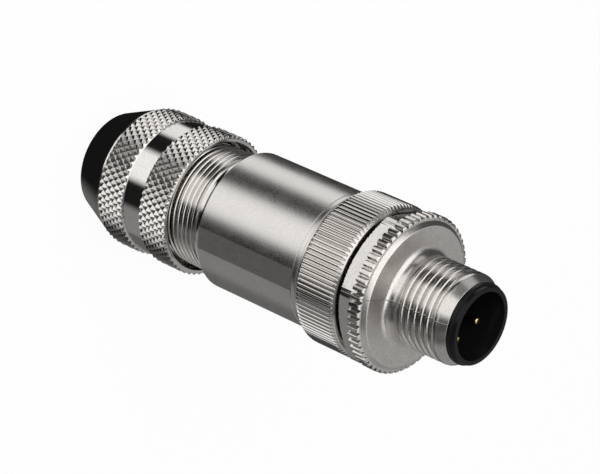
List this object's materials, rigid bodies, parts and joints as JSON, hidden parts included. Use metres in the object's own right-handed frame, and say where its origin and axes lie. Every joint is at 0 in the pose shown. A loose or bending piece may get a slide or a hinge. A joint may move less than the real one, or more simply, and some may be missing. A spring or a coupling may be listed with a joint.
{
  "type": "circular connector plug",
  "caption": "Straight circular cable plug with a screw coupling ring, shielded metal barrel, screwed cable gland and male contacts in a keyed insulating socket.",
  "frame": {"origin": "centre of the gland nut's flat rear face, on which the plug stands", "axes": "+Z along the plug's axis towards the mating face, +X through the first contact pin"},
  "size_m": [0.0208, 0.0208, 0.0627],
  "materials": {
    "plated_brass": "bright nickel plating on turned and knurled brass",
    "plated_casting": "satin nickel plating on a zinc die casting",
    "black_insulator": "moulded black plastic",
    "gold_contact": "gold plating, polished",
    "cage_plastic": "moulded dark grey plastic",
    "sleeve_plastic": "natural white plastic tube",
    "washer_plastic": "moulded dark plastic",
    "seal_rubber": "black rubber",
    "ring_rubber": "black rubber ring",
    "spring_metal": "plated spring metal",
    "screw_steel": "zinc-plated steel"
  },
  "bodies": {
    "core": {"front_body": "plated_brass", "contact_carrier": "black_insulator", "terminal_block": "black_insulator", "carrier_clip": "spring_metal", "body_seal": "ring_rubber", "carrier_seal": "ring_rubber", "contact_pin_1": "gold_contact", "contact_pin_2": "gold_contact", "contact_pin_3": "gold_contact", "contact_pin_4": "gold_contact", "terminal_screw_1": "screw_steel", "terminal_screw_2": "screw_steel", "terminal_screw_3": "screw_steel", "terminal_screw_4": "screw_steel"},
    "coupling": {"coupling_ring": "plated_casting"},
    "insulator": {"insulating_sleeve": "sleeve_plastic"},
    "housing": {"barrel": "plated_brass", "shield_clamp": "spring_metal", "pressure_washer": "washer_plastic", "cable_seal": "seal_rubber"},
    "cage": {"clamping_cage": "cage_plastic"},
    "nut": {"gland_nut": "plated_brass"}
  },
  "joints": [
    {"name": "coupling_spin", "type": "hinge", "parent": "core", "child": "coupling", "pos_m": [0, 0, 0.05], "axis": [0, 0, 1], "continuous": true},
    {"name": "barrel_travel", "type": "slide", "parent": "core", "child": "insulator", "axis": [0, 0, -1], "range_m": [0, 0.004]},
    {"name": "barrel_turn", "type": "hinge", "parent": "insulator", "child": "housing", "pos_m": [0, 0, 0.03], "axis": [0, 0, -1], "range_deg": [0, 1440]},
    {"name": "gland_travel", "type": "slide", "parent": "housing", "child": "cage", "axis": [0, 0, 1], "range_m": [-0.004, 0.00125]},
    {"name": "nut_turn", "type": "hinge", "parent": "cage", "child": "nut", "pos_m": [0, 0, 0.01], "axis": [0, 0, 1], "range_deg": [-1440, 450]}
  ],
  "couplings": [
    {"joint": "barrel_travel", "follows": "barrel_turn", "m_per_rad": 0.00015915},
    {"joint": "gland_travel", "follows": "nut_turn", "m_per_rad": 0.00015915}
  ]
}
